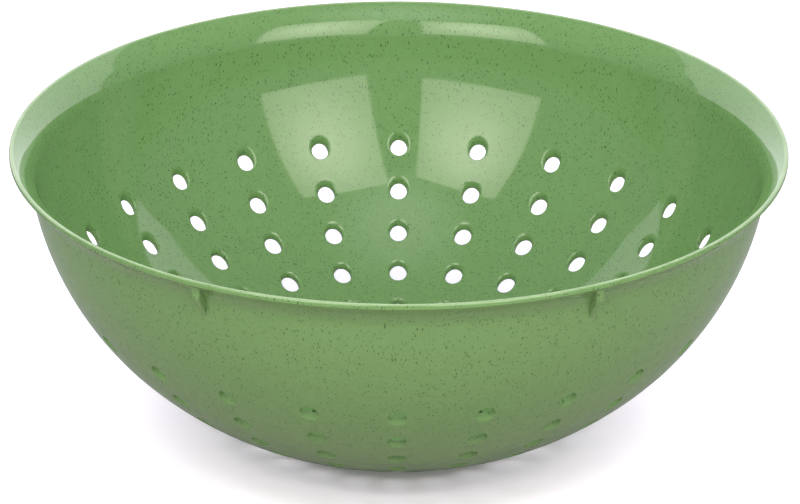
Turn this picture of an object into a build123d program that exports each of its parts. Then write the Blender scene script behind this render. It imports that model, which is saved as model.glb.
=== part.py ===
from build123d import *
from math import acos, atan, cos, degrees, radians, sin, sqrt
import os

# A kitchen colander, moulded in one piece: a bowl with rings of drain holes, a flared
# rim, a flat base on a low foot ring, and six stacking lugs in the corner under the rim.
# Millimetres and degrees. The origin is the centre of the foot on the table, +Z is up,
# and -Y is the front, where one column of holes faces the viewer.

# Overall sizes
rim_diameter = 280.0
overall_height = 113.5

# Flared rim: a lip that slopes down into the bowl and folds over into the wall. The fold
# keeps the wall's thickness, so it is rounded both inside the bowl and under the lip.
lip_slope = 40.0
lip_edge_rounding = 0.5
lip_fold_radius = 14.5
lip_overhang = 7.0
rim_band_height = 15.5

# Bowl wall: a shoulder arc that turns into a belly arc. The slopes are those of its faces
# under the lip and at the edge of the base. At the turn it runs a little flatter than the
# straight line between its ends.
wall_thickness = 2.1
wall_top_slope = 83.5
base_slope = 12.9
turn_ease = 0.83

# Base: a flat disc on a low foot ring
base_diameter = 76.0
foot_height = 4.0
foot_width = 2.4
foot_rounding = 0.6

# Drain holes in the wall: ovals that run steeply down through it, leaning outward. The
# rings lie evenly on both sides of the turn, as many as fit between the two margins. The
# belly is the band with the first rings below the turn, and the bottom has the others.
holes_per_ring = 24
ring_pitch = 17.15
top_ring_margin = 38.0
bottom_ring_margin = 7.0
belly_rings = 2
hole_width = 6.5
hole_height = 8.0
hole_lean = 15.0

# Drain holes in the base: round, straight down, in two rings
base_hole_diameter = 6.5
base_ring_margin = 7.6
base_ring_pitch = 14.0
outer_base_ring_holes = 12
inner_base_ring_holes = 6

# Stacking lugs: upright ribs between the underside of the lip and the wall
lug_count = 6
lug_setback = 2.0
lug_face_depth = 7.7
lug_depth = 16.5
lug_width = 3.6
lug_tip_width = 1.8
lug_corner_rounding = 0.8

# Cutters run this far past what they cut, and lugs are drawn this far into the wall
# before the wall's own shape is taken out of them
overrun = 1.0


def section_point(radius, height):
    """Point of the section plane: its distance from the axis and its height."""
    return Vector(radius, 0, height)


def on_arc(centre, radius, slope):
    """Point of an arc about the centre where its tangent has this slope."""
    return centre + section_point(radius * sin(radians(slope)), -radius * cos(radians(slope)))


# The lip is as thick as the wall. Its upper face touches the rounding of the rim's edge.
rim_radius = rim_diameter / 2
lip_normal = section_point(-sin(radians(lip_slope)), cos(radians(lip_slope)))
lip_fall = section_point(-cos(radians(lip_slope)), -sin(radians(lip_slope)))
edge_centre = section_point(rim_radius - lip_edge_rounding, overall_height - lip_edge_rounding)
lip_top = edge_centre + lip_normal * lip_edge_rounding
lip_under = lip_top - lip_normal * wall_thickness


def under_lip(radius):
    """Point of the lip's underside at this distance from the axis."""
    return lip_under + lip_fall * ((lip_under.X - radius) / cos(radians(lip_slope)))


def arc_run(first_slope, last_slope):
    """Way from one end to the other of an arc of radius 1 between two slopes."""
    hub = section_point(0, 0)
    return on_arc(hub, 1, last_slope) - on_arc(hub, 1, first_slope)


# The outer face of the wall hangs between two points: the corner under the lip and the
# edge of the base. With these slopes, only one pair of radii joins them smoothly.
wall_top = under_lip(rim_radius - lip_overhang)
base_radius = base_diameter / 2
way_down = section_point(base_radius, foot_height) - wall_top
belly_slope = degrees(atan(way_down.Z / way_down.X)) - turn_ease
shoulder_run = arc_run(wall_top_slope, belly_slope)
belly_run = arc_run(belly_slope, base_slope)
shoulder_radius = way_down.cross(belly_run).Y / shoulder_run.cross(belly_run).Y
belly_radius = shoulder_run.cross(way_down).Y / shoulder_run.cross(belly_run).Y
shoulder_centre = on_arc(wall_top, -shoulder_radius, wall_top_slope)
belly_centre = on_arc(shoulder_centre, shoulder_radius - belly_radius, belly_slope)


def inner_wall_top():
    """Point where the lip's upper face, run on in a straight line, meets the inner wall."""
    away = lip_top - shoulder_centre
    inner_radius = shoulder_radius - wall_thickness
    along = away.dot(lip_fall)
    run = -along - sqrt(along * along - away.dot(away) + inner_radius * inner_radius)
    return lip_top + lip_fall * run


def wall_arcs(inset, top):
    """The shoulder and belly arcs of a face of the wall, from its top down to the base."""
    shoulder = shoulder_radius - inset
    belly = belly_radius - inset
    top_slope = degrees(acos((shoulder_centre.Z - top.Z) / shoulder))
    turn = on_arc(shoulder_centre, shoulder, belly_slope)
    foot = on_arc(belly_centre, belly, base_slope)
    upper = ThreePointArc(top, on_arc(shoulder_centre, shoulder, (top_slope + belly_slope) / 2), turn)
    lower = ThreePointArc(turn, on_arc(belly_centre, belly, (belly_slope + base_slope) / 2), foot)
    return upper + lower, foot


def shell_section():
    """Closed section of the lip, the wall and the base disc, all in one."""
    corner = inner_wall_top()
    outer_wall, outer_foot = wall_arcs(0, wall_top)
    inner_wall, inner_foot = wall_arcs(wall_thickness, corner)
    edge_bottom = under_lip(rim_radius)
    edge_top = section_point(rim_radius, edge_centre.Z)
    edge_crest = section_point(edge_centre.X, overall_height)
    outline = Line(edge_bottom, edge_top)
    outline += ThreePointArc(edge_top, edge_crest, lip_top)
    outline += Line(lip_top, corner)
    outline += inner_wall
    outline += Line(inner_foot, section_point(0, inner_foot.Z))
    outline += Line(section_point(0, inner_foot.Z), section_point(0, outer_foot.Z))
    outline += Line(section_point(0, outer_foot.Z), outer_foot)
    outline += outer_wall
    outline += Line(wall_top, edge_bottom)
    section = make_face(outline)
    inner_fold = section.vertices().sort_by_distance(corner)[0]
    section = fillet(inner_fold, lip_fold_radius)
    outer_fold = section.vertices().sort_by_distance(wall_top)[0]
    return fillet(outer_fold, lip_fold_radius - wall_thickness)


def section_window(*corners):
    """Flat face of the section plane with these corners."""
    return make_face(Polyline(*corners, close=True))


def upright_window(inner, outer, bottom, top):
    """Rectangle of the section plane between two radii and two heights."""
    corners = [(inner, bottom), (outer, bottom), (outer, top), (inner, top)]
    return section_window(*[section_point(*corner) for corner in corners])


def turned(section):
    """Solid that the section makes when it is turned about the bowl's axis."""
    return revolve(section, axis=Axis.Z)


def spread(shape, count):
    """Copies of a shape drawn on +X, evenly about the axis, the first turned to the front."""
    return [Rot(0, 0, 360 * step / count - 90) * shape for step in range(count)]


def ring_slopes(radius, end_slope, margin):
    """Slopes at which rings of holes lie on one arc of the middle of the wall.

    The first ring is half a pitch from the turn, and the last keeps the margin to the end.
    """
    room = radians(abs(end_slope - belly_slope)) * radius - margin
    heading = (end_slope - belly_slope) / abs(end_slope - belly_slope)
    rings = range(int(room / ring_pitch + 1 / 2))
    return [belly_slope + heading * degrees((ring + 1 / 2) * ring_pitch / radius) for ring in rings]


def wall_hole(middle, slope):
    """Cutter of one hole about a point of the middle of the wall, drawn on +X."""
    upward = section_point(-sin(radians(hole_lean)), cos(radians(hole_lean)))
    skew = radians(slope - hole_lean)
    oval = Ellipse(hole_width / 2, hole_height * cos(skew) / 2)
    reach = wall_thickness / cos(skew) + hole_height * sin(abs(skew)) / 2 + overrun
    return Plane(middle, x_dir=(0, 1, 0), z_dir=upward) * extrude(oval, reach, both=True)


def wall_cutters(centre, outer_radius, end_slope, margin):
    """Cutters of all the holes on one arc of the wall."""
    radius = outer_radius - wall_thickness / 2
    slopes = ring_slopes(radius, end_slope, margin)
    rings = [wall_hole(on_arc(centre, radius, slope), slope) for slope in slopes]
    return [hole for ring in rings for hole in spread(ring, holes_per_ring)]


def base_hole(ring_radius):
    """Cutter of one round hole through the base disc, drawn on +X."""
    start = section_point(ring_radius, foot_height - overrun)
    return Pos(start) * extrude(Circle(base_hole_diameter / 2), 2 * (wall_thickness + overrun))


def make_lug(shell):
    """One stacking lug on +X: its side view, narrowed towards its tip, less the shell.

    The corner where the faces of the lip and the wall would meet lies within the fold.
    """
    reach = rim_radius - lug_setback
    tip_height = overall_height - lug_depth
    tip_radius = shoulder_centre.X + sqrt(shoulder_radius**2 - (shoulder_centre.Z - tip_height) ** 2)
    side = make_face(
        Polyline(
            under_lip(reach) + section_point(0, overrun),
            section_point(reach, overall_height - lug_face_depth),
            section_point(tip_radius, tip_height),
            section_point(tip_radius - overrun, tip_height),
            wall_top,
            close=True,
        )
    )
    rib = extrude(side, lug_width / 2, both=True)
    face_corner = rib.edges().filter_by(Axis.Y).sort_by_distance(
        section_point(reach, overall_height - lug_face_depth)
    )[0]
    rib = fillet(face_corner, lug_corner_rounding)
    top_height = under_lip(reach).Z + overrun
    taper = make_face(
        Polyline(
            (0, -lug_width / 2, top_height),
            (0, -lug_tip_width / 2, tip_height),
            (0, lug_tip_width / 2, tip_height),
            (0, lug_width / 2, top_height),
            close=True,
        )
    )
    return (rib & extrude(taper, reach, dir=(1, 0, 0))) - shell


def make_foot_ring():
    """Ring under the edge of the base disc, its standing edge rounded on both sides."""
    section = upright_window(base_radius - foot_width, base_radius, 0, foot_height)
    standing_corners = section.vertices().sort_by(Axis.Z)[:2]
    return turned(fillet(standing_corners, foot_rounding))


section = shell_section()
outer_limit = rim_radius + overrun
split_height = overall_height - rim_band_height
rim_window = upright_window(base_radius, outer_limit, split_height, overall_height + overrun)
base_window = upright_window(0, base_radius, 0, split_height)

# The wall is divided square to its faces at the turn and once below it, each time between
# two rings of holes.
bottom_slope = belly_slope - degrees(belly_rings * ring_pitch / (belly_radius - wall_thickness / 2))
turn_inside = on_arc(shoulder_centre, shoulder_radius - wall_thickness - overrun, belly_slope)
turn_outside = on_arc(shoulder_centre, shoulder_radius + overrun, belly_slope)
bottom_inside = on_arc(belly_centre, belly_radius - wall_thickness - overrun, bottom_slope)
bottom_outside = on_arc(belly_centre, belly_radius + overrun, bottom_slope)
shoulder_window = section_window(
    turn_inside,
    turn_outside,
    section_point(outer_limit, turn_outside.Z),
    section_point(outer_limit, split_height),
    section_point(turn_inside.X, split_height),
)
belly_window = section_window(
    turn_outside,
    turn_inside,
    section_point(bottom_inside.X, turn_inside.Z),
    bottom_inside,
    bottom_outside,
    section_point(turn_outside.X, bottom_outside.Z),
)
bottom_window = section_window(
    bottom_outside,
    bottom_inside,
    section_point(base_radius, bottom_inside.Z),
    section_point(base_radius, 0),
    section_point(bottom_outside.X, 0),
)

outer_base_ring = base_radius - foot_width - base_ring_margin
base_cutters = spread(base_hole(outer_base_ring), outer_base_ring_holes)
base_cutters += spread(base_hole(outer_base_ring - base_ring_pitch), inner_base_ring_holes)

shoulder_holes = wall_cutters(shoulder_centre, shoulder_radius, wall_top_slope, top_ring_margin)
lower_holes = wall_cutters(belly_centre, belly_radius, base_slope, bottom_ring_margin)
in_belly = belly_rings * holes_per_ring

rim = turned(section & rim_window)
shoulder = turned(section & shoulder_window)
belly = turned(section & belly_window)
bottom = turned(section & bottom_window)
parts = {
    "rim": rim,
    "shoulder_wall": shoulder - shoulder_holes,
    "belly_wall": belly - lower_holes[:in_belly],
    "bottom_wall": bottom - lower_holes[in_belly:],
    "base": turned(section & base_window) - base_cutters,
    "foot_ring": make_foot_ring(),
}
lug = make_lug(rim + shoulder)
for number, copy in enumerate(spread(lug, lug_count), start=1):
    # The front column of holes lies between two lugs, half a step from each.
    parts[f"stacking_lug_{number}"] = Rot(0, 0, 180 / lug_count) * copy

os.makedirs("parts", exist_ok=True)
for name, shape in parts.items():
    export_step(shape, f"parts/{name}.step")
    print(name, len(shape.solids()), round(shape.volume), shape.bounding_box().size)
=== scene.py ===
# %% [markdown]
# A green plastic colander
#
# The colander is one injection moulding: a bowl with rings of drain holes, a flared rim,
# a flat base on a low foot ring, and six stacking lugs in the corner under the rim.
# Its CAD model is already exact, but it has razor-sharp hole edges and flat facets. This
# lesson builds a smooth skin over every piece, gives it speckled glossy plastic, and
# lights it on a white table with two soft box lamps, a bright background and a weak light
# overhead.

import bpy
import numpy as np
from mathutils import Matrix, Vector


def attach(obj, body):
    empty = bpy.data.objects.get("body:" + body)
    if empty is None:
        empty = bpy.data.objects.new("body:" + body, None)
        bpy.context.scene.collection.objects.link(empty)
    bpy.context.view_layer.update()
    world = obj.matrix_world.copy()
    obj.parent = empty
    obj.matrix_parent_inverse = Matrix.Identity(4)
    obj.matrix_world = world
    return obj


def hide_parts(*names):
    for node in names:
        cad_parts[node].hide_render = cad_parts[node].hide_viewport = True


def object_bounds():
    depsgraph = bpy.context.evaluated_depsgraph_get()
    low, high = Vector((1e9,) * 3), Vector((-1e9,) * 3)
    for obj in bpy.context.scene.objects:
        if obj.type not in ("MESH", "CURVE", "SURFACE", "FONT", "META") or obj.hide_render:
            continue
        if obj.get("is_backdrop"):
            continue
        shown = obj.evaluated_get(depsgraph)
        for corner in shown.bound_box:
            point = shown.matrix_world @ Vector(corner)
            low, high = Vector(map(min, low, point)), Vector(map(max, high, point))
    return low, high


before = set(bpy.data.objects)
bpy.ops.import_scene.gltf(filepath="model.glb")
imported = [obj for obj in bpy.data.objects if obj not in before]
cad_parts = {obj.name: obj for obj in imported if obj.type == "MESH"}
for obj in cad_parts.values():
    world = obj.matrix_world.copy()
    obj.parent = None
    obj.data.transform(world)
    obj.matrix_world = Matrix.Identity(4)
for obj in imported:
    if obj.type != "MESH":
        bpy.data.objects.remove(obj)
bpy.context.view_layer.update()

print("pieces in the frame:", sorted(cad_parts))

# %% [markdown]
# The bowl's section
#
# A moulded bowl is designed as a half section that is turned about its axis. Every size
# below is the CAD model's own, in metres and degrees, so that the skin lies where the
# solids do. Only the lip, the holes' edges and the lugs are softened, further on. Blender
# could also borrow the imported mesh, but its facets would show in the crisp reflections,
# so the section is worked out again as lines and arcs.
#
# A point of the section is a pair: distance from the axis, and height. A direction in
# the section is given by its angle above "outwards".

# %% Sizes of the bowl
rim_radius = 0.140
overall_height = 0.1135
lip_slope = 40.0
lip_edge_rounding = 0.0005
lip_fold_radius = 0.0145
lip_overhang = 0.007
rim_band_height = 0.0155
wall_thickness = 0.0021
wall_top_slope = 83.5
base_slope = 12.9
turn_ease = 0.83
base_radius = 0.038
foot_height = 0.004
foot_width = 0.0024


def direction(angle):
    """Unit vector of the section at an angle above outwards: its cosine and its sine."""
    angle = np.radians(angle)
    return np.stack([np.cos(angle), np.sin(angle)], axis=-1)


def on_arc(centre, radius, slope):
    """Point of an arc whose tangent has this slope: the centre plus the radius times the
    direction a right angle below the tangent."""
    return np.asarray(centre) + np.asarray(radius)[..., None] * direction(np.asarray(slope) - 90)


lip_normal = direction(90 + lip_slope)
lip_fall = direction(180 + lip_slope)


def lip_with(rounding):
    """Centre of the lip's edge rounding, and where the lip's two faces start: the centre
    plus the radius along the lip's normal, and the wall's thickness back from that."""
    centre = np.array([rim_radius - rounding, overall_height - rounding])
    start = centre + rounding * lip_normal
    return centre, start, start - wall_thickness * lip_normal


edge_centre, lip_top, lip_under = lip_with(lip_edge_rounding)
print("lip's upper face starts at", lip_top.round(5), "and its underside at", lip_under.round(5))

# %% [markdown]
# The wall's two arcs
#
# The outer face hangs between the corner under the lip and the edge of the base. A wide
# shoulder arc turns into a belly arc, and the slopes at both ends and at the turn are
# known. The way from end to end is then radius times a known vector, twice, which is a
# pair of linear equations for the two radii.

# %% Solve the wall's radii
def under_lip(radius):
    """Point of the lip's underside at this distance from the axis, along its slope."""
    return lip_under + lip_fall * (lip_under[0] - radius) / np.cos(np.radians(lip_slope))


wall_top = under_lip(rim_radius - lip_overhang)
way_down = np.array([base_radius, foot_height]) - wall_top
belly_slope = np.degrees(np.arctan(way_down[1] / way_down[0])) - turn_ease
shoulder_run = direction(belly_slope - 90) - direction(wall_top_slope - 90)
belly_run = direction(base_slope - 90) - direction(belly_slope - 90)
runs = np.stack([shoulder_run, belly_run], axis=1)
shoulder_radius, belly_radius = np.linalg.solve(runs, way_down)
shoulder_centre = on_arc(wall_top, -shoulder_radius, wall_top_slope)
belly_centre = on_arc(shoulder_centre, shoulder_radius - belly_radius, belly_slope)
print("radii in mm:", round(shoulder_radius * 1000, 3), round(belly_radius * 1000, 3))

# %% [markdown]
# From section to mesh
#
# Each surface is a grid of points with a grid of exact normals beside it. Turning a
# section about the axis is one array product. Blender can work out smooth normals by
# itself, but it averages the faces it finds, and a polished bowl shows every small error
# as a wobble in its reflections. So the exact normals go into the mesh with the points.
#
# The normals have a second use: they say which way is out, so each face's corners can
# be put in the right order without thinking about it.
#
# Azimuths are counted in degrees from +X, so the side towards the camera is at -90.

# %% Turn a section about the axis
front = -90
holes_per_ring = 24
hole_spacing = 360 / holes_per_ring
steps_per_hole = 16
cell_count = np.arange(holes_per_ring * steps_per_hole + 1) / steps_per_hole
azimuths = np.radians(front + (cell_count - 0.5) * hole_spacing)


def turned(points, normals, around):
    """Grid of a section turned about the axis: distance times cosine, times sine, and height."""
    cos, sin = np.cos(around), np.sin(around)

    def turn(pairs):
        out, up = np.asarray(pairs)[:, None, 0], np.asarray(pairs)[:, None, 1]
        return np.stack([out * cos, out * sin, up + 0 * cos], axis=-1)

    return turn(points), turn(normals)


print("columns of points round the bowl:", len(azimuths))

# %% Build a piece
weld_distance = 1e-7


def corner_numbers(rows, columns, start):
    """Corners of a grid's quads: a point, the next in its row, and the two beyond them."""
    number = start + np.arange(rows * columns).reshape(rows, columns)
    corners = number[:-1, :-1], number[:-1, 1:], number[1:, 1:], number[1:, :-1]
    return np.stack(corners, axis=-1).reshape(-1, 4)


def open_edges(faces):
    """How many edges don't have exactly two faces."""
    ends = np.concatenate([np.stack([f, np.roll(f, -1)], axis=-1) for f in map(np.array, faces)])
    _, uses = np.unique(np.sort(ends, axis=1), axis=0, return_counts=True)
    return int((uses != 2).sum())


def make_piece(name, grids, *nodes):
    """Welds grids of points and normals into one closed mesh that stands for CAD nodes."""
    points = np.concatenate([p.reshape(-1, 3) for p, n in grids])
    normals = np.concatenate([n.reshape(-1, 3) for p, n in grids])
    starts = np.cumsum([0] + [p.shape[0] * p.shape[1] for p, n in grids])
    quads = np.concatenate([corner_numbers(*p.shape[:2], s) for (p, n), s in zip(grids, starts)])

    # A face whose corners run against its normals is turned round.
    a, b, c, d = (points[quads[:, i]] for i in range(4))
    against = (np.cross(c - a, d - b) * normals[quads].mean(axis=1)).sum(axis=-1) < 0
    quads[against] = quads[against][:, ::-1]

    # Points within the weld distance become one, and quads that close up at a pole
    # become triangles.
    keys = np.round(points / weld_distance).astype(np.int64)
    _, first, weld = np.unique(keys, axis=0, return_index=True, return_inverse=True)
    weld = weld.reshape(-1)
    real = weld[quads] != np.roll(weld[quads], 1, axis=1)
    quads, real = quads[real.sum(axis=1) > 2], real[real.sum(axis=1) > 2]
    corners = quads[real]
    sizes = real.sum(axis=1)
    cuts = np.cumsum(sizes)[:-1]
    faces = [face.tolist() for face in np.split(weld[corners], cuts)]

    mesh = bpy.data.meshes.new(name)
    mesh.from_pydata(points[first].tolist(), [], faces)
    mesh.shade_smooth()
    mesh.normals_split_custom_set(normals[corners].tolist())
    piece = bpy.data.objects.new(name, mesh)
    bpy.context.scene.collection.objects.link(piece)
    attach(piece, "root")
    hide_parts(*nodes)
    print(f"{name}: {len(faces)} faces, {open_edges(faces)} open edges")
    return piece


# %% [markdown]
# The rim
#
# The rim is a lip that slopes down into the bowl and folds over into the wall. The fold
# keeps the wall's thickness, so both of its faces are arcs about one centre. On the real
# moulding the lip's edge catches a thin bright line, because the mould leaves a small
# rounding there. The profile is a chain of arcs and straight runs that share their
# tangents, so the turned surface has no crease. The fold has to touch both a sloping face
# and the wall, so its centre is on a line parallel to the face and on a circle about the
# wall's centre.
#
# The photograph shows the edge catching the light over most of its height, and the pale
# reflection on the lip tapering off slowly towards the front. So the skin rounds the edge
# more than the solid does, and gives the lip a slight crown: a wide arc that touches the
# edge's rounding and runs into the fold. The rim's radius and height stay the same.

# %% Arcs and straight runs
def arc(centre, radius, first, last, steps, hollow=False):
    """Points of an arc between two angles, with normals outwards, or inwards if hollow."""
    way = direction(np.linspace(first, last, steps + 1))
    return centre + radius * way, -way if hollow else way


def run(start, end, normal, steps=1):
    """Points of a straight run, evenly spaced, all with one normal."""
    start, end = np.asarray(start), np.asarray(end)
    share = np.linspace(0, 1, steps + 1)[:, None]
    return start + share * (end - start), np.broadcast_to(normal, (steps + 1, 2))


def touching(offset, reach):
    """Centre on the line parallel to the lip's upper face, so far below it, and on the
    circle of radius reach about the shoulder's centre: the root of a quadratic."""
    start = lip_top - offset * lip_normal
    away = start - shoulder_centre
    along = away @ lip_fall
    return start + lip_fall * (-along - np.sqrt(along**2 - away @ away + reach**2))


def angle_of(vector):
    """Angle of a section vector above outwards, in degrees."""
    return np.degrees(np.arctan2(vector[1], vector[0]))


def crown_onto(small_centre, small_radius, end, end_normal):
    """Centre and radius of an arc that ends at a point with a given normal and touches a
    small circle on its inside: its centre is as far from the small circle's centre as the
    difference of the two radii."""
    way = end - small_centre
    radius = (way @ way - small_radius**2) / (2 * (way @ end_normal - small_radius))
    return end - radius * end_normal, radius


def wall_at_height(radius, height):
    """Slope of a face of the shoulder at this height: the arc cosine of the drop below its
    centre over its radius."""
    return np.degrees(np.arccos((shoulder_centre[1] - height) / radius))


inner_shoulder = shoulder_radius - wall_thickness
split_height = overall_height - rim_band_height
outer_split = wall_at_height(shoulder_radius, split_height)
inner_split = wall_at_height(inner_shoulder, split_height)
print("wall's slopes where the rim ends:", outer_split.round(2), inner_split.round(2))

# %% Profile of the rim
under_radius = lip_fold_radius - wall_thickness
edge_low_rounding = 0.0003
edge_top_rounding = 0.0009
crown_end_slope = 52.0
edge_centre, lip_top, lip_under = lip_with(edge_top_rounding)
fold_centre = touching(lip_fold_radius, inner_shoulder + lip_fold_radius)
crown_end_normal = direction(90 + crown_end_slope)
crown_end = fold_centre + lip_fold_radius * crown_end_normal
crown_centre, crown_radius = crown_onto(edge_centre, edge_top_rounding, crown_end, crown_end_normal)
crown_start_slope = angle_of(edge_centre - crown_centre) - 90
low_radius = rim_radius - edge_low_rounding
low_height = under_lip(low_radius)[1] + edge_low_rounding / np.cos(np.radians(lip_slope))
edge_low_centre = np.array([low_radius, low_height])

lip_under_end = edge_low_centre - edge_low_rounding * lip_normal
fold_end = fold_centre + under_radius * lip_normal
fold_slope = angle_of(fold_centre - shoulder_centre) + 90
outer_slopes = np.linspace(outer_split, fold_slope, num=4)
inner_slopes = np.linspace(fold_slope, inner_split, num=4)
rim_profile = [
    (on_arc(shoulder_centre, shoulder_radius, outer_slopes), direction(outer_slopes - 90)),
    arc(fold_centre, under_radius, fold_slope + 90, 90 + lip_slope, steps=16, hollow=True),
    run(fold_end, lip_under_end, -lip_normal, steps=3),
    arc(edge_low_centre, edge_low_rounding, lip_slope - 90, 0, steps=4),
    run([rim_radius, low_height], [rim_radius, edge_centre[1]], direction(0), steps=2),
    arc(edge_centre, edge_top_rounding, 0, 90 + crown_start_slope, steps=16),
    arc(crown_centre, crown_radius, 90 + crown_start_slope, 90 + crown_end_slope, steps=10),
    arc(fold_centre, lip_fold_radius, 90 + crown_end_slope, fold_slope + 90, steps=16),
    (on_arc(shoulder_centre, inner_shoulder, inner_slopes), -direction(inner_slopes - 90)),
]
rim_points = np.concatenate([p for p, n in rim_profile])
rim_normals = np.concatenate([n for p, n in rim_profile])
rim_seam = rim_points[[0, -1]]
print("rim profile:", len(rim_points), "points, between", *rim_seam.round(5))
print("lip's crown: radius", crown_radius.round(5), "from slope", crown_start_slope.round(1))

# %% Build the rim
down, up = direction(-90), direction(90)
rim = make_piece(
    "rim_skin",
    [turned(rim_points, rim_normals, azimuths), turned(rim_seam, [down, down], azimuths)],
    "rim",
)

# %% [markdown]
# The drain holes
#
# The holes are ovals that run steeply down through the wall, because the mould's pins
# all pull the same way. Their inner edge is softly rounded, and that rounding catches
# the lamps as thin bright arcs. A boolean cut would leave sharp edges and long thin
# triangles round each hole, and a bevel on such a mesh breaks.
#
# Instead the wall is laid out in cells, one to a hole. A cell is a single ribbon of
# quads that starts at the cell's border on the outer face, runs in to the hole, over its
# rounded edge, through the wall, over the inner edge, and out to the border on the inner
# face. One cell of each ring is worked out, and array products carry it round the bowl.

# %% Faces that the holes are cut in
def arc_face(centre, radius, side):
    """A face of the wall that follows an arc. Its own coordinates are azimuth and slope.
    side is 1 on the outer face and -1 on the inner one."""

    def place(azimuth, slope):
        pairs = on_arc(centre, radius, slope), side * direction(slope - 90)
        cos, sin = np.cos(azimuth), np.sin(azimuth)
        return tuple(np.stack([p[..., 0] * cos, p[..., 0] * sin, p[..., 1]], -1) for p in pairs)

    def locate(points):
        out = np.hypot(points[..., 0], points[..., 1]) - centre[0]
        slope = np.degrees(np.arctan2(out, centre[1] - points[..., 2]))
        return np.arctan2(points[..., 1], points[..., 0]), slope

    def miss(points):
        out = np.hypot(points[..., 0], points[..., 1]) - centre[0]
        return np.hypot(out, points[..., 2] - centre[1]) - radius

    return place, locate, miss


def flat_face(height, side):
    """A level face of the base. Its own coordinates are azimuth and distance from the axis."""

    def place(azimuth, radius):
        level = np.zeros_like(radius)
        points = np.stack([radius * np.cos(azimuth), radius * np.sin(azimuth), level + height], -1)
        return points, np.stack([level, level, level + side], -1)

    def locate(points):
        return np.arctan2(points[..., 1], points[..., 0]), np.hypot(points[..., 0], points[..., 1])

    def miss(points):
        return points[..., 2] - height

    return place, locate, miss


trial_azimuth, trial_slope = np.array(0.5), np.array(60.0)
trial_place, trial_locate, trial_miss = arc_face(shoulder_centre, shoulder_radius, 1)
trial_point = trial_place(trial_azimuth, trial_slope)[0]
print("found again:", *trial_locate(trial_point), "off the face by", trial_miss(trial_point))

# %% Borders and copies of cells
rise_steps = 8


def unit(vectors):
    """Vectors of the same directions and of length 1."""
    return vectors / np.linalg.norm(vectors, axis=-1, keepdims=True)


def cell_border(half_width, low, high, across, along):
    """Border of a cell in its face's own coordinates, once round and back to its start."""
    side = np.linspace(-1, 1, across + 1)[:-1] * half_width
    rise = np.linspace(low, high, along + 1)[:-1]
    first = np.concatenate([side, np.full(along, half_width), -side, np.full(along, -half_width)])
    second = np.concatenate([np.full(across, low), rise, np.full(across, high), low + high - rise])
    return np.append(first, first[0]), np.append(second, second[0])


def around_bowl(grid, count, first=front):
    """Copies of a grid about the axis, evenly spaced, the first one at the front or at a
    given azimuth."""
    angles = np.radians(first + 360 / count * np.arange(count))
    cos, sin, one, none = np.cos(angles), np.sin(angles), np.ones(count), np.zeros(count)
    turns = np.stack([cos, -sin, none, sin, cos, none, none, none, one], -1).reshape(count, 3, 3)
    return [tuple(part @ turn.T for part in grid) for turn in turns]


trial_border = cell_border(1, 0, 1, steps_per_hole, rise_steps)
print("points round a cell:", len(trial_border[0]))

# %% One cell with its hole
hole_width = 0.0065
hole_height = 0.0080
hole_lean = 15.0
newton_rounds, newton_nudge = 8, 1e-5
patch_shares = np.array([0, 0.3, 0.58, 0.82, 1])[:, None]
bend_shares = np.array([0.25, 0.5, 0.75, 1])[:, None, None]


def hole_cell(middle, lean, width, height, border, outer, inner, softness):
    """Grid of one cell: border, outer face, hole and inner face, drawn about azimuth 0.

    The hole is an oval tube: middle plus half the width times a cosine sideways, plus half
    the height times a sine across the axis. Newton's rule finds where its side meets a
    face. Each edge is rounded by a quadratic curve between a point of the face, the sharp
    corner and a point of the side. softness gives, for each face, how far the rounding
    reaches everywhere, how much further at the sides, and how much further where face and
    side meet bluntly.
    """
    axis = np.array([-np.sin(np.radians(lean)), 0, np.cos(np.radians(lean))])
    across = np.array([-axis[2], 0, axis[0]])
    centre = np.array([middle[0], 0, middle[1]])
    low, high = border[1].min(), border[1].max()
    sideways = border[0] / border[0].max() * width
    upward = (border[1] - (low + high) / 2) / (high - low) * 2 * height
    turn = np.arctan2(-upward / height, sideways / width)
    cos, sin = np.cos(turn)[:, None], np.sin(turn)[:, None]
    side = centre + width / 2 * cos * np.array([0, 1, 0]) + height / 2 * sin * across
    inward = -unit(cos / width * np.array([0, 1, 0]) + sin / height * across)

    rows, row_normals = [], []
    for face, through, reaches in ((outer, 1, softness[0]), (inner, -1, softness[1])):
        even, at_sides, where_blunt = reaches
        rounding = even + at_sides * cos**2 + where_blunt * np.clip(through * sin, 0, 1) ** 2
        place, locate, miss = face
        depth = np.zeros_like(cos)
        for _ in range(newton_rounds):
            here = miss(side + depth * axis)[:, None]
            beyond = miss(side + (depth + newton_nudge) * axis)[:, None]
            depth = depth - here * newton_nudge / (beyond - here)
        corner = side + depth * axis
        normal = place(*locate(corner))[1]
        away = unit(-inward + (inward * normal).sum(-1, keepdims=True) * normal)
        rest = locate(corner + rounding * away)
        patch = place(*(edge + patch_shares * (end - edge) for edge, end in zip(border, rest)))
        bend = bend_shares
        weights = (1 - bend) ** 2, 2 * bend * (1 - bend), bend**2
        start, end = patch[0][-1], corner + through * rounding * axis
        curve = weights[0] * start + weights[1] * corner + weights[2] * end
        curve_normals = unit((1 - bend) * patch[1][-1] + bend * inward)
        order = slice(None, None, through)
        rows.append(np.concatenate([patch[0], curve])[order])
        row_normals.append(np.concatenate([patch[1], curve_normals])[order])
    return np.concatenate(rows), np.concatenate(row_normals)


print("wall holes:", hole_width, "by", hole_height, "m, leaning", hole_lean, "degrees")

# %% [markdown]
# The wall in three parts
#
# The wall is divided at the turn between its two arcs and once more below it, as the CAD
# model is, each time between two rings of holes. What is left under the rim and beside
# the base is plain. Each part also gets the faces where it meets its neighbours, so that
# it is a closed solid by itself.

# %% Build the three parts of the wall
ring_pitch = 0.01715
band_step = 1.5
least_band_points = 3
wall_softness = (0.00025, 0.0001, 0.0009), (0.0004, 0.0008, 0.0014)


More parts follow.
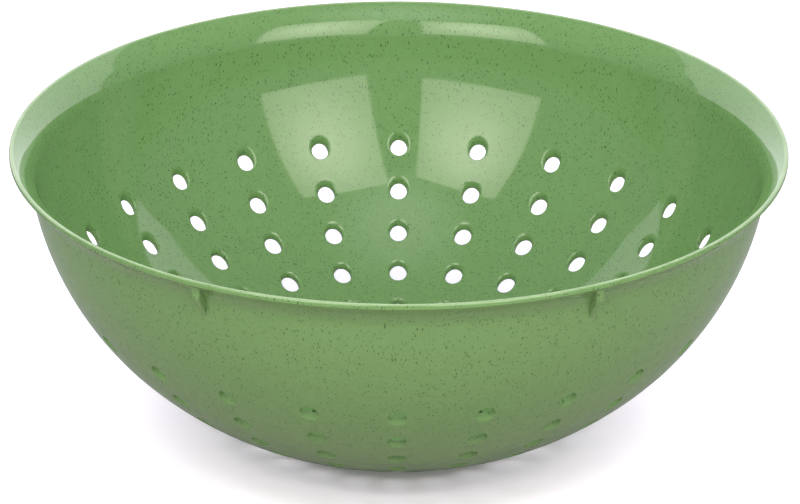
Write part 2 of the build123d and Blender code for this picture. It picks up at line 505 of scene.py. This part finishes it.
def wall_part(name, centre, radius, heading, first_ring, rings, far_end=None):
    """One part of the wall: rings of cells, then a plain band if it has a far end of its own,
    and two closures. heading is 1 up the shoulder and -1 down the belly. far_end gives the
    slopes where the outer and the inner face end, and the normal of the closure there."""
    inner_radius = radius - wall_thickness
    middle_radius = radius - wall_thickness / 2
    step = heading * np.degrees(ring_pitch / middle_radius)
    outer, inner = arc_face(centre, radius, 1), arc_face(centre, inner_radius, -1)
    near, plain = belly_slope + step * first_ring, belly_slope + step * (first_ring + rings)
    half_cell = np.radians(hole_spacing / 2)
    grids = []
    for ring in range(rings):
        slope = near + step * (ring + 0.5)
        low, high = sorted([slope - step / 2, slope + step / 2])
        border = cell_border(half_cell, low, high, steps_per_hole, rise_steps)
        # A hole's height is measured along the wall. Its tube is less high than that.
        height = hole_height * np.cos(np.radians(slope - hole_lean))
        middle = on_arc(centre, middle_radius, slope)
        cell = hole_cell(middle, hole_lean, hole_width, height, border, outer, inner, wall_softness)
        grids += around_bowl(cell, holes_per_ring)
    outer_end, inner_end, end_normal = far_end or (plain, plain, heading * direction(plain))
    if far_end:
        for face_radius, end, side in ((radius, outer_end, 1), (inner_radius, inner_end, -1)):
            slopes = np.linspace(plain, end, least_band_points + int(abs(end - plain) / band_step))
            band = on_arc(centre, face_radius, slopes)
            grids.append(turned(band, side * direction(slopes - 90), azimuths))
    near_edge = on_arc(centre, np.array([radius, inner_radius]), near)
    far_edge = [on_arc(centre, radius, outer_end), on_arc(centre, inner_radius, inner_end)]
    grids.append(turned(near_edge, [-heading * direction(near)] * 2, azimuths))
    grids.append(turned(far_edge, [end_normal, end_normal], azimuths))
    return make_piece(name, grids, name.replace("_skin", ""))


inner_belly = belly_radius - wall_thickness
inner_base_slope = np.degrees(np.arcsin((base_radius - belly_centre[0]) / inner_belly))
under_rim = outer_split, inner_split, up
beside_base = base_slope, inner_base_slope, -direction(0)
shoulder = wall_part("shoulder_wall_skin", shoulder_centre, shoulder_radius, 1, 0, 2, under_rim)
belly = wall_part("belly_wall_skin", belly_centre, belly_radius, -1, 0, 2)
bottom = wall_part("bottom_wall_skin", belly_centre, belly_radius, -1, 2, 2, beside_base)

# %% [markdown]
# The base and the foot ring
#
# The base is a flat disc with eighteen straight round holes, and it stands on a low ring
# whose edge is rounded. They are made with the same cells and turned profiles. Only the
# faces differ: level ones instead of arcs.

# %% Build the base
base_top = on_arc(belly_centre, inner_belly, base_slope)[1]
base_hole = 0.0065
base_softness = (0.0003, 0, 0), (0.0006, 0, 0)
ring_radii, ring_holes = (0.028, 0.014), (12, 6)
ring_borders = (0.0335, 0.021, 0.007)
base_steps = holes_per_ring * steps_per_hole // 2
underside, topside = flat_face(foot_height, -1), flat_face(base_top, 1)
base_grids = []
for radius, count, high, low in zip(ring_radii, ring_holes, ring_borders, ring_borders[1:]):
    border = cell_border(np.pi / count, low, high, base_steps // count, along=6)
    middle = np.array([radius, (foot_height + base_top) / 2])
    cell = hole_cell(middle, 0, base_hole, base_hole, border, underside, topside, base_softness)
    base_grids += around_bowl(cell, count)
first_azimuth = front - 180 / ring_holes[0]
base_around = np.radians(first_azimuth + np.linspace(0, 360, base_steps + 1))
rise = np.linspace(base_slope, inner_base_slope, num=3)
rise_points, rise_normals = on_arc(belly_centre, inner_belly, rise), -direction(rise - 90)
flat_points, flat_normals = run([ring_borders[0], base_top], rise_points[0], up, steps=2)
base_grids += [
    turned(flat_points, flat_normals, base_around),
    turned(rise_points, rise_normals, base_around),
    turned([rise_points[-1], [base_radius, foot_height]], [direction(0)] * 2, base_around),
    turned([[base_radius, foot_height], [ring_borders[0], foot_height]], [down] * 2, base_around),
    turned([[ring_borders[2], base_top], [0, base_top]], [up] * 2, base_around),
    turned([[ring_borders[2], foot_height], [0, foot_height]], [down] * 2, base_around),
]
base = make_piece("base_skin", base_grids, "base")

# %% Build the foot ring
foot_rounding = 0.0006
foot_inner = base_radius - foot_width
low_outer = np.array([base_radius - foot_rounding, foot_rounding])
low_inner = np.array([foot_inner + foot_rounding, foot_rounding])
foot_profile = [
    run([base_radius, foot_height], low_outer + [foot_rounding, 0], direction(0)),
    arc(low_outer, foot_rounding, 0, -90, steps=6),
    run(low_outer - [0, foot_rounding], low_inner - [0, foot_rounding], down),
    arc(low_inner, foot_rounding, -90, -180, steps=6),
    run(low_inner - [foot_rounding, 0], [foot_inner, foot_height], -direction(0)),
    run([foot_inner, foot_height], [base_radius, foot_height], up),
]
foot = make_piece("foot_ring_skin", [turned(p, n, azimuths) for p, n in foot_profile], "foot_ring")

# %% [markdown]
# The stacking lugs
#
# Six small ribs under the rim keep a stack of colanders from jamming: the rim of the
# next bowl sits on them. A rib has an upright outer face, then an underside that runs in
# to the wall while the rib grows narrower, and all its edges are rounded by the mould.
# A box with a bevel has the same rounding everywhere, and this one shrinks towards the
# tip, so the rib is a stack of level sections instead. Each section is a strip with two
# rounded corners, as wide and deep as the rib is at that height. Its root lies a little
# inside the bowl, so that no gap shows.

# %% Profile of a lug
lug_count = 6
lug_setback = 0.0020
lug_face_depth = 0.0077
lug_depth = 0.0165
lug_width, lug_tip_width = 0.0036, 0.0018
lug_rounding = 0.0011
lug_sink = 0.0003
corner_width_share, corner_depth_share = 0.7, 0.8
corner_points = 14
slope_below_tip = 1.0

lug_reach = rim_radius - lug_setback
face_bottom = overall_height - lug_face_depth
tip_height = overall_height - lug_depth

tip_slope = wall_at_height(shoulder_radius, tip_height)
low_slopes = np.linspace(tip_slope - slope_below_tip, fold_slope, num=6)
bowl_side = np.concatenate([
    on_arc(shoulder_centre, shoulder_radius, low_slopes),
    arc(fold_centre, under_radius, fold_slope + 90, 90 + lip_slope, steps=16, hollow=True)[0],
    [fold_end, under_lip(rim_radius)],
])
tip = on_arc(shoulder_centre, shoulder_radius, tip_slope)
underside_slope = angle_of(np.array([lug_reach, face_bottom]) - tip)
easing = lug_rounding * np.tan(np.radians(90 - underside_slope) / 2)
bend_centre = np.array([lug_reach - lug_rounding, face_bottom + easing])
face_top = np.array([lug_reach, under_lip(lug_reach)[1] + lug_sink])
bend_end = bend_centre + lug_rounding * direction(underside_slope - 90)
lug_profile = np.concatenate([
    run(face_top, bend_centre + [lug_rounding, 0], direction(0), steps=5)[0],
    arc(bend_centre, lug_rounding, 0, underside_slope - 90, steps=6)[0][1:],
    run(bend_end, tip, direction(underside_slope - 90), steps=12)[0][1:],
])
print("lug profile:", len(lug_profile), "points from", face_top.round(5), "to", tip.round(5))

# %% Build the lugs
def lug_sections(profile):
    """Level sections of a lug on +X: two quarter circles of the corner radius, centred that
    far inside the outer corners, and two points on the root."""
    height = profile[:, 1:]
    root = np.interp(height, bowl_side[:, 1], bowl_side[:, 0]) - lug_sink
    share = (height - tip_height) / (face_top[1] - tip_height)
    half = (lug_tip_width + (lug_width - lug_tip_width) * share) / 2
    depth = np.maximum(profile[:, :1] - root, lug_sink)
    corner = np.minimum(corner_width_share * half, corner_depth_share * depth)
    turn = np.radians(np.linspace(-90, 90, corner_points))
    side = np.where(turn < 0, -1, 1)
    out = root + depth - corner + corner * np.cos(turn)
    along = side * (half - corner) + corner * np.sin(turn)
    out = np.concatenate([root, out, root], axis=1)
    along = np.concatenate([-half, along, half], axis=1)
    return np.stack([out, along, height + 0 * out], axis=-1)


def facing(points, normal):
    """A flat grid of points with one normal for all of them."""
    return points, np.broadcast_to(np.array(normal, float), points.shape)


def cap(section, normal):
    """Fan from a closed section to its mean point."""
    ring = np.concatenate([section, section[:1]])
    return facing(np.stack([ring, np.broadcast_to(section.mean(axis=0), ring.shape)]), normal)


lug_body = lug_sections(lug_profile)
down_rows, along_rows = np.gradient(lug_body, axis=0), np.gradient(lug_body, axis=1)
lug_grids = [
    (lug_body, unit(np.cross(down_rows, along_rows))),
    facing(np.stack([lug_body[:, 0], lug_body[:, -1]]), (-1, 0, 0)),
    cap(lug_body[0], (0, 0, 1)),
    cap(lug_body[-1], (0, 0, -1)),
]
first_lug = front + 180 / lug_count
lug_copies = zip(*[around_bowl(grid, lug_count, first_lug) for grid in lug_grids])
lugs = [
    make_piece(f"stacking_lug_{number}_skin", list(grids), f"stacking_lug_{number}")
    for number, grids in enumerate(lug_copies, start=1)
]

# %% [markdown]
# Speckled plastic
#
# The real plastic is a clean mid green, polished by the mould, with fine dark green
# flecks all through it: small irregular grains, some round and some drawn out. They are
# grains in a solid, so a three-dimensional pattern fits better than a picture: a Voronoi
# texture gives every cell of space a centre, and a grain is what lies close to it. A
# little noise bends the coordinates first, so that no grain is a perfect ball, and each
# grain's size comes from its own cell's random colour. Object coordinates keep the grain
# in place on the bowl.
#
# Three fine things are added: a painted highlight, a pale green along the rim's top edge where the
# lamps' thin bright line falls, some places slightly less polished than others, and a faint ripple
# that bends the reflections.

# %% Colours and nodes
def rgb(red, green, blue):
    """Linear colour of a screen colour from 0 to 255, by the usual display curve."""
    screen = np.array([red, green, blue]) / 255
    linear = np.where(screen <= 0.04045, screen / 12.92, ((screen + 0.055) / 1.055) ** 2.4)
    return (*linear.tolist(), 1.0)


class NodeKit:
    """Short ways to add and join nodes."""

    def __init__(self, tree):
        self.tree = tree
        tree.nodes.clear()

    def add(self, kind, inputs=(), **settings):
        """New node, with a value or a link for each of its inputs."""
        node = self.tree.nodes.new(kind)
        for name, value in settings.items():
            setattr(node, name, value)
        for name, value in dict(inputs).items():
            if isinstance(value, bpy.types.NodeSocket):
                self.tree.links.new(value, node.inputs[name])
            else:
                node.inputs[name].default_value = value
        return node

    def math(self, operation, first, second=0.0, third=0.0):
        """Arithmetic on numbers and sockets."""
        values = {0: first, 1: second, 2: third}
        return self.add("ShaderNodeMath", values, operation=operation).outputs[0]

    def vector(self, operation, first, second):
        """Arithmetic on vectors and sockets."""
        values = {0: first, "Scale" if operation == "SCALE" else 1: second}
        return self.add("ShaderNodeVectorMath", values, operation=operation).outputs[0]

    def noise(self, place, scale, detail=1.0):
        """Noise texture on a position."""
        return self.add("ShaderNodeTexNoise", {"Vector": place, "Scale": scale, "Detail": detail})

    def smooth(self, value, low, high):
        """0 below low, 1 above high, and a smooth step between."""
        names = {"Value": value, "From Min": low, "From Max": high}
        node = self.add("ShaderNodeMapRange", names, interpolation_type="SMOOTHSTEP")
        return node.outputs["Result"]

    def mix(self, factor, first, second):
        """Colour between two colours."""
        node = self.add("ShaderNodeMix", data_type="RGBA")
        for socket, value in ((0, factor), (6, first), (7, second)):
            if isinstance(value, bpy.types.NodeSocket):
                self.tree.links.new(value, node.inputs[socket])
            else:
                node.inputs[socket].default_value = value
        return node.outputs[2]


print("mid grey on the screen, in linear light:", rgb(128, 128, 128)[:3])

# %% Grains
# Each set of grains: how its cells are turned and stretched, cells in a metre, the largest
# grain in metres, how many cells hold one (or None, where that varies from place to
# place), how strongly it colours the ground, and its colour.
grain_sets = (
    ((0.2, -0.8, 1.0), 0.70, 1700.0, 0.00016, 0.8, 0.40, (52, 92, 44)),
    ((1.5, 0.2, -0.8), 0.33, 1100.0, 0.00025, None, 0.75, (38, 74, 34)),
    ((-0.9, 0.9, 0.4), 0.33, 1250.0, 0.00022, None, 0.80, (38, 74, 34)),
    ((0.6, 0.3, 0.0), 0.33, 1150.0, 0.00025, None, 0.85, (32, 66, 28)),
)
least_grain = 0.4
grain_softness = 0.08


def grains(kit, coordinates, turn, stretch, cells_per_metre, largest, share):
    """Mask of grains: 1 where the nearest cell centre is closer than the cell's own grain
    size. The coordinates are turned and stretched first, which draws the grains out in one
    direction. share is how many cells hold a grain."""
    shape = {"Vector": coordinates, "Rotation": turn, "Scale": (1, 1, stretch)}
    drawn = kit.add("ShaderNodeMapping", shape)
    cells = kit.add("ShaderNodeTexVoronoi", {"Vector": drawn.outputs[0], "Scale": cells_per_metre})
    chance = kit.add("ShaderNodeSeparateColor", {"Color": cells.outputs["Color"]})
    held = kit.math("LESS_THAN", chance.outputs[0], share)
    spread = kit.math("MULTIPLY_ADD", chance.outputs[1], 1 - least_grain, least_grain)
    size = kit.math("MULTIPLY", kit.math("MULTIPLY", spread, held), largest * cells_per_metre)
    inside = kit.math("SUBTRACT", size, cells.outputs["Distance"])
    return kit.smooth(inside, 0.0, grain_softness)


print("sets of grains:", len(grain_sets))

# %% Values of the plastic
# Waves of noise in a metre
bend_waves, cloud_waves, tone_waves, sheen_waves, ripple_waves = 2200.0, 110.0, 260.0, 60.0, 140.0
deep_green, light_green, painted_highlight_green = rgb(98, 134, 83), rgb(105, 143, 90), rgb(192, 208, 180)
grain_bend = 0.0006
thin_cloud, thick_cloud = 0.35, 0.65
least_share, crowding = 0.38, 0.45
# Heights below the rim's top where the painted highlight on its edge starts and where it is full,
# and its least and added strength
highlight_starts, highlight_full = 0.00045, 0.00010
least_edge_highlight, more_edge_highlight = 0.1, 0.4
polished, handled = 0.045, 0.075
ripple_height, ripple_strength = 0.00002, 0.05
refraction = 1.5
print("a mid green on the screen, in linear light:", deep_green[:3])

# %% Make the plastic
plastic = bpy.data.materials.new("speckled_green_plastic")
plastic.use_nodes = True
kit = NodeKit(plastic.node_tree)
place = kit.add("ShaderNodeTexCoord").outputs["Object"]
middle_grey = (0.5, 0.5, 0.5)
bend = kit.vector("SUBTRACT", kit.noise(place, bend_waves).outputs["Color"], middle_grey)
bent = kit.vector("ADD", place, kit.vector("SCALE", bend, grain_bend))
cloud = kit.noise(place, cloud_waves).outputs["Fac"]
crowd = kit.smooth(cloud, thin_cloud, thick_cloud)
share = kit.math("MULTIPLY_ADD", crowd, crowding, least_share)
tone = kit.noise(place, tone_waves, detail=2.0).outputs["Fac"]
colour = kit.mix(tone, deep_green, light_green)
for turn, stretch, cells_per_metre, largest, held, depth, dark in grain_sets:
    mask = grains(kit, bent, turn, stretch, cells_per_metre, largest, held or share)
    colour = kit.mix(kit.math("MULTIPLY", mask, depth), colour, rgb(*dark))

# Painted highlight: near the rim's top edge the colour is mixed towards a pale green, more where
# the cloud noise is high, standing in for the lamps' bright line on the edge
level = kit.add("ShaderNodeSeparateXYZ", {"Vector": place}).outputs["Z"]
near_edge = kit.smooth(level, overall_height - highlight_starts, overall_height - highlight_full)
edge_highlight_share = kit.math("MULTIPLY_ADD", cloud, more_edge_highlight, least_edge_highlight)
colour_with_painted_highlight = kit.mix(kit.math("MULTIPLY", near_edge, edge_highlight_share), colour, painted_highlight_green)

sheen = kit.noise(place, sheen_waves, detail=2.0).outputs["Fac"]
spread = {"From Min": 0.3, "From Max": 0.7, "To Min": polished, "To Max": handled}
roughness = kit.add("ShaderNodeMapRange", {"Value": sheen, **spread}).outputs["Result"]
ripple = kit.noise(place, ripple_waves).outputs["Fac"]
bump = {"Height": ripple, "Strength": ripple_strength, "Distance": ripple_height}
surface = kit.add("ShaderNodeBump", bump).outputs["Normal"]
shader = kit.add(
    "ShaderNodeBsdfPrincipled",
    {"Base Color": colour_with_painted_highlight, "Roughness": roughness, "Normal": surface, "IOR": refraction},
)
kit.add("ShaderNodeOutputMaterial", {"Surface": shader.outputs[0]})
for piece in (rim, shoulder, belly, bottom, base, foot, *lugs):
    piece.data.materials.append(plastic)
print("plastic nodes:", len(plastic.node_tree.nodes))

# %% [markdown]
# The lamps
#
# The photograph is a plain studio shot: a white table that runs up into a bright white
# background, and two soft box lamps in front, one each side of the camera. The lamps show
# as two crisp pale panes on the polished inner wall. Tracing the corners of those panes
# back through the mirror of the wall gives the lamps' own corners: upright boxes of about
# 0.6 by 0.9 metres, a metre away. The background shows as the pale band on the lip, and
# a weak light overhead, dark at its edges, as the soft glow at the bottom of the bowl.
#
# Plain area lamps would give panes of one flat tone. The real ones are brighter in the
# middle, where the bulb is, so each lamp's own nodes make its glow fall off.

# %% Make a soft box
glow_flat, glow_end = 0.05, 0.62


def soft_box(name, corners, middle_glow, edge_glow, tint=(1.0, 1.0, 1.0)):
    """Rectangular lamp on four corners: low outer, low inner, high inner, high outer. Its
    glow falls off smoothly with the distance from its middle, as a share of its sides."""
    low_outer, low_inner, high_inner, high_outer = (np.array(c) for c in corners)
    across, rising = low_inner - low_outer, high_outer - low_outer
    middle = (low_outer + low_inner + high_inner + high_outer) / 4
    side, top = unit(across), unit(rising)
    top = unit(top - (top @ side) * side)
    back = np.cross(side, top)
    if back @ middle < 0:
        side, back = -side, -back
    data = bpy.data.lights.new(name, "AREA")
    data.shape = "RECTANGLE"
    data.size, data.size_y = float(np.linalg.norm(across)), float(np.linalg.norm(rising))
    data.energy = np.pi * data.size * data.size_y
    data.color = tint
    data.use_nodes = True
    kit = NodeKit(data.node_tree)
    cloth = kit.add("ShaderNodeNewGeometry").outputs["Parametric"]
    offset = kit.vector("SUBTRACT", cloth, (0.5, 0.5, 0.0))
    distance = kit.add("ShaderNodeVectorMath", {0: offset}, operation="LENGTH").outputs["Value"]
    fall = kit.smooth(distance, glow_flat, glow_end)
    glow = kit.math("MULTIPLY_ADD", fall, edge_glow - middle_glow, middle_glow)
    lit = kit.add("ShaderNodeEmission", {"Color": (1, 1, 1, 1), "Strength": glow})
    kit.add("ShaderNodeOutputLight", {"Surface": lit.outputs[0]})
    lamp = bpy.data.objects.new(name, data)
    lamp.matrix_world = Matrix(np.column_stack([side, top, back]).tolist()).to_4x4()
    lamp.location = middle.tolist()
    lamp.visible_camera = False
    bpy.context.scene.collection.objects.link(lamp)
    print(f"{name}: {data.size:.3f} by {data.size_y:.3f} m, {data.energy:.1f} W")


# %% Set up the lamps
lamp_glow, lamp_edge_glow, lamp_tint = 6.0, 2.9, (1.04, 1.0, 0.87)
right_corners = [
    (0.730, -0.628, 0.289), (0.174, -0.841, 0.255),
    (0.063, -0.705, 1.111), (0.619, -0.491, 1.145),
]
left_corners = [
    (-0.619, -0.505, 0.264), (-0.115, -0.848, 0.273),
    (-0.129, -0.830, 1.165), (-0.633, -0.487, 1.157),
]
soft_box("right_lamp", right_corners, lamp_glow, lamp_edge_glow, lamp_tint)
soft_box("left_lamp", left_corners, lamp_glow, lamp_edge_glow, lamp_tint)

back_distance, back_half_width, back_top, back_glow = 1.5, 4.6, 2.75, 1.35
back_corners = [
    (-back_half_width, back_distance, 0.0), (back_half_width, back_distance, 0.0),
    (back_half_width, back_distance, back_top), (-back_half_width, back_distance, back_top),
]
soft_box("bright_background", back_corners, back_glow, back_glow)

overhead_glow = 1.5
overhead_corners = [(0.6, -1.3, 1.6), (-0.6, -1.3, 1.6), (-0.6, 0.1, 1.6), (0.6, 0.1, 1.6)]
soft_box("overhead_light", overhead_corners, overhead_glow, 0.0)

# %% [markdown]
# Room and table
#
# A white background could come from more light, but that would bleach the bowl. Here the
# room is white only to camera rays, and half as bright to everything else. The table has
# three colours in the same way: white where the camera sees it, so that only the bowl's
# shadow shows, darker where it lights the bowl, and darker still where the bowl mirrors
# it. The white would need a colour above 1, so two shaders of half of it are added.

# %% Room light
room_glow = 0.5
world = bpy.data.worlds.new("room")
bpy.context.scene.world = world
world.use_nodes = True
kit = NodeKit(world.node_tree)
seen = kit.add("ShaderNodeLightPath").outputs["Is Camera Ray"]
strength = kit.math("MULTIPLY_ADD", seen, 1 - room_glow, room_glow)
shade = kit.add("ShaderNodeBackground", {"Color": (1, 1, 1, 1), "Strength": strength})
kit.add("ShaderNodeOutputWorld", {"Surface": shade.outputs[0]})
print("room glow:", room_glow)

# %% White table
table_size = 30
lighting_colour = (0.66, 0.52, 0.56, 1)
mirrored_colour = (0.35, 0.37, 0.36, 1)
half_seen_colour = (0.65, 0.62, 0.72, 1)
bpy.ops.mesh.primitive_plane_add(size=table_size)
table = bpy.context.object
table.name = "table"
table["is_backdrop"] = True
paper = bpy.data.materials.new("white_table")
paper.use_nodes = True
kit = NodeKit(paper.node_tree)
ray = kit.add("ShaderNodeLightPath").outputs
unseen_colour = kit.mix(ray["Is Glossy Ray"], lighting_colour, mirrored_colour)
unseen = kit.add("ShaderNodeBsdfDiffuse", {"Color": unseen_colour})
half_seen = kit.add("ShaderNodeBsdfDiffuse", {"Color": half_seen_colour})
seen = kit.add("ShaderNodeAddShader", {0: half_seen.outputs[0], 1: half_seen.outputs[0]})
either = {0: ray["Is Camera Ray"], 1: unseen.outputs[0], 2: seen.outputs[0]}
both = kit.add("ShaderNodeMixShader", either)
kit.add("ShaderNodeOutputMaterial", {"Surface": both.outputs[0]})
table.data.materials.append(paper)
print("table:", table_size, "m across")

# %% [markdown]
# The camera
#
# The view was fitted to the photograph from the centres of thirty drain holes and the
# outline of the rim: a long lens, 1.8 metres away, 23 degrees above the rim.

# %% Set up the camera
eye_distance, eye_rise = 1.825, np.radians(22.95)
aim_right, aim_up, roll = np.radians([0.02, -1.24, 0.31])
focal_pixels, picture_pixels, sensor_width = 5071, 800, 36

eye = eye_distance * np.array([0.0, -np.cos(eye_rise), np.sin(eye_rise)])
ahead = -unit(eye)
right = np.array([1.0, 0.0, 0.0])
above = np.cross(right, ahead)
aim = unit(ahead + np.tan(aim_right) * right + np.tan(aim_up) * above)
level_side = unit(np.cross(aim, above))
level_top = np.cross(level_side, aim)
side = np.cos(roll) * level_side + np.sin(roll) * level_top
top = np.cos(roll) * level_top - np.sin(roll) * level_side
camera_data = bpy.data.cameras.new("camera")
camera_data.sensor_width = sensor_width
camera_data.lens = focal_pixels * sensor_width / picture_pixels
camera = bpy.data.objects.new("camera", camera_data)
camera.matrix_world = Matrix(np.column_stack([side, top, -aim]).tolist()).to_4x4()
camera.location = (eye + [0, 0, overall_height]).tolist()
bpy.context.scene.collection.objects.link(camera)
bpy.context.scene.camera = camera
bpy.context.scene.view_settings.view_transform = "Standard"
print("camera at", [round(x, 3) for x in camera.location], "lens", round(camera_data.lens, 1), "mm")

# %% Print the visual box
low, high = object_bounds()
print("visual box:", [round(x, 5) for x in (*low, *high)])
